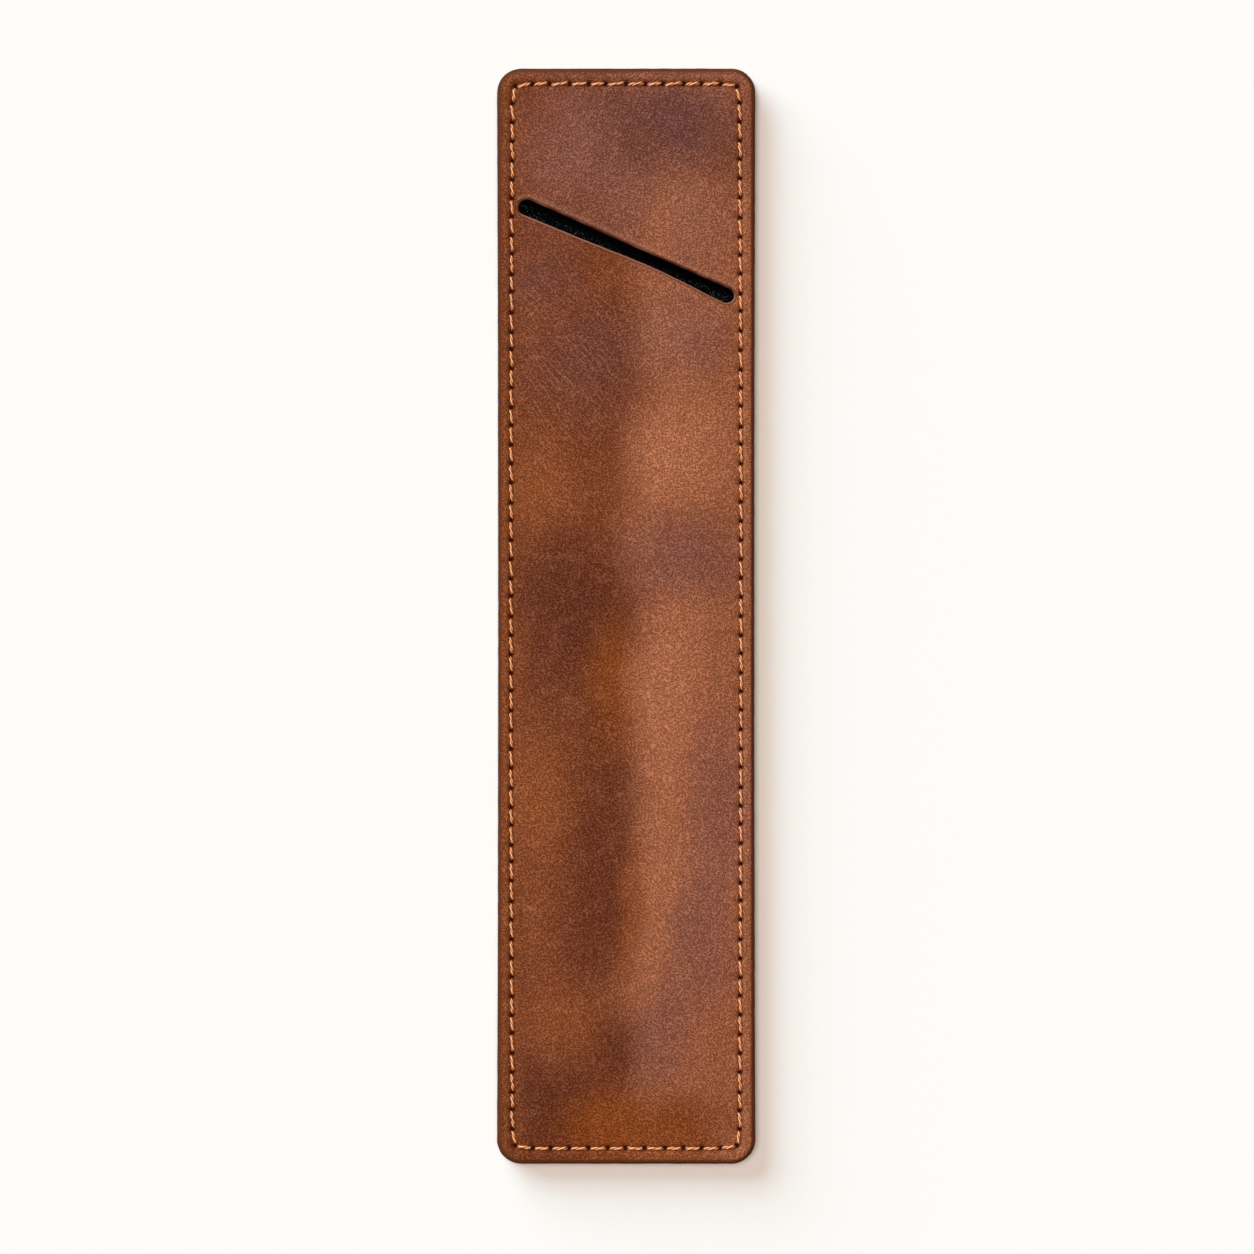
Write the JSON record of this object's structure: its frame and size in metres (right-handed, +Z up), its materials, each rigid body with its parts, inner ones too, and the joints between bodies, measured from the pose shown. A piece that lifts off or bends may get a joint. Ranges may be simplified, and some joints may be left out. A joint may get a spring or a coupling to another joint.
{
  "type": "single pen sleeve",
  "caption": "Flat leather sleeve for one pen, lined in black and stitched all round, with a slanted slot across the front as the mouth of its pocket.",
  "frame": {"origin": "middle of the footprint, on the surface that the back panel lies on", "axes": "+X across the sleeve to the right, +Y along it towards the slotted end, +Z up out of the front panel"},
  "size_m": [0.039, 0.165, 0.0062],
  "materials": {
    "front_leather": "grained, satin",
    "back_leather": "grained, satin",
    "front_lining": "fine pebbled",
    "back_lining": "fine pebbled",
    "board": "plain fibre board",
    "edge_coat": "smooth, satin",
    "slot_coat": "smooth, satin",
    "needle_thread": "twisted, waxed",
    "bobbin_thread": "twisted, waxed"
  },
  "bodies": {
    "root": {"front_cover": "front_leather", "slot_edge_coat": "slot_coat", "front_lining": "front_lining", "back_lining": "back_lining", "back_stiffener": "board", "back_cover": "back_leather", "edge_coat": "edge_coat", "needle_thread": "needle_thread", "bobbin_thread": "bobbin_thread"}
  },
  "joints": []
}
